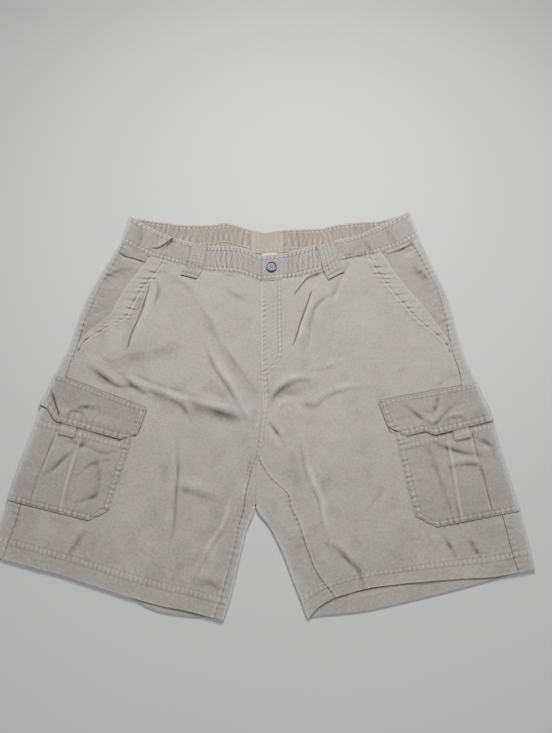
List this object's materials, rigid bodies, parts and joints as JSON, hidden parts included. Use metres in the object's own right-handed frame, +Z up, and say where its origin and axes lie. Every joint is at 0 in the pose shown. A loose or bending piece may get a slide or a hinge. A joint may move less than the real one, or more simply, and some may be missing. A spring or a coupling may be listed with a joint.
{
  "type": "cargo shorts laid flat",
  "caption": "Knee-length cotton twill cargo shorts laid flat, front side up, with slant pockets, flapped cargo pockets, belt loops and a buttoned waistband.",
  "frame": {"origin": "middle of the laid garment's bounding box, on the surface that it lies on", "axes": "+X to the right and +Y to the waist with the front side up, +Z up off the surface"},
  "size_m": [0.7518, 0.6309, 0.0142],
  "materials": {
    "shell_twill": "washed greige cotton twill, matte, with paler worn edges",
    "waistband_twill": "the same cotton twill, slightly tanner, matte",
    "label_tape": "plain white woven tape",
    "button_metal": "dark blue-grey satin metal"
  },
  "bodies": {
    "root": {"front_left": "shell_twill", "front_right": "shell_twill", "back_left": "shell_twill", "back_right": "shell_twill", "fly_facing": "shell_twill", "pocket_side_left": "shell_twill", "pocket_side_right": "shell_twill", "waistband_left": "waistband_twill", "waistband_right": "waistband_twill", "waistband_centre_back": "waistband_twill", "cargo_pocket_left": "shell_twill", "cargo_pocket_right": "shell_twill", "cargo_flap_left": "shell_twill", "cargo_flap_right": "shell_twill", "flap_tab_left": "shell_twill", "flap_tab_right": "shell_twill", "belt_loop_front_left": "shell_twill", "belt_loop_front_right": "shell_twill", "belt_loop_back_left": "shell_twill", "belt_loop_back_right": "shell_twill", "belt_loop_centre_back": "shell_twill", "waist_button": "button_metal", "blank_label": "label_tape"}
  },
  "joints": []
}
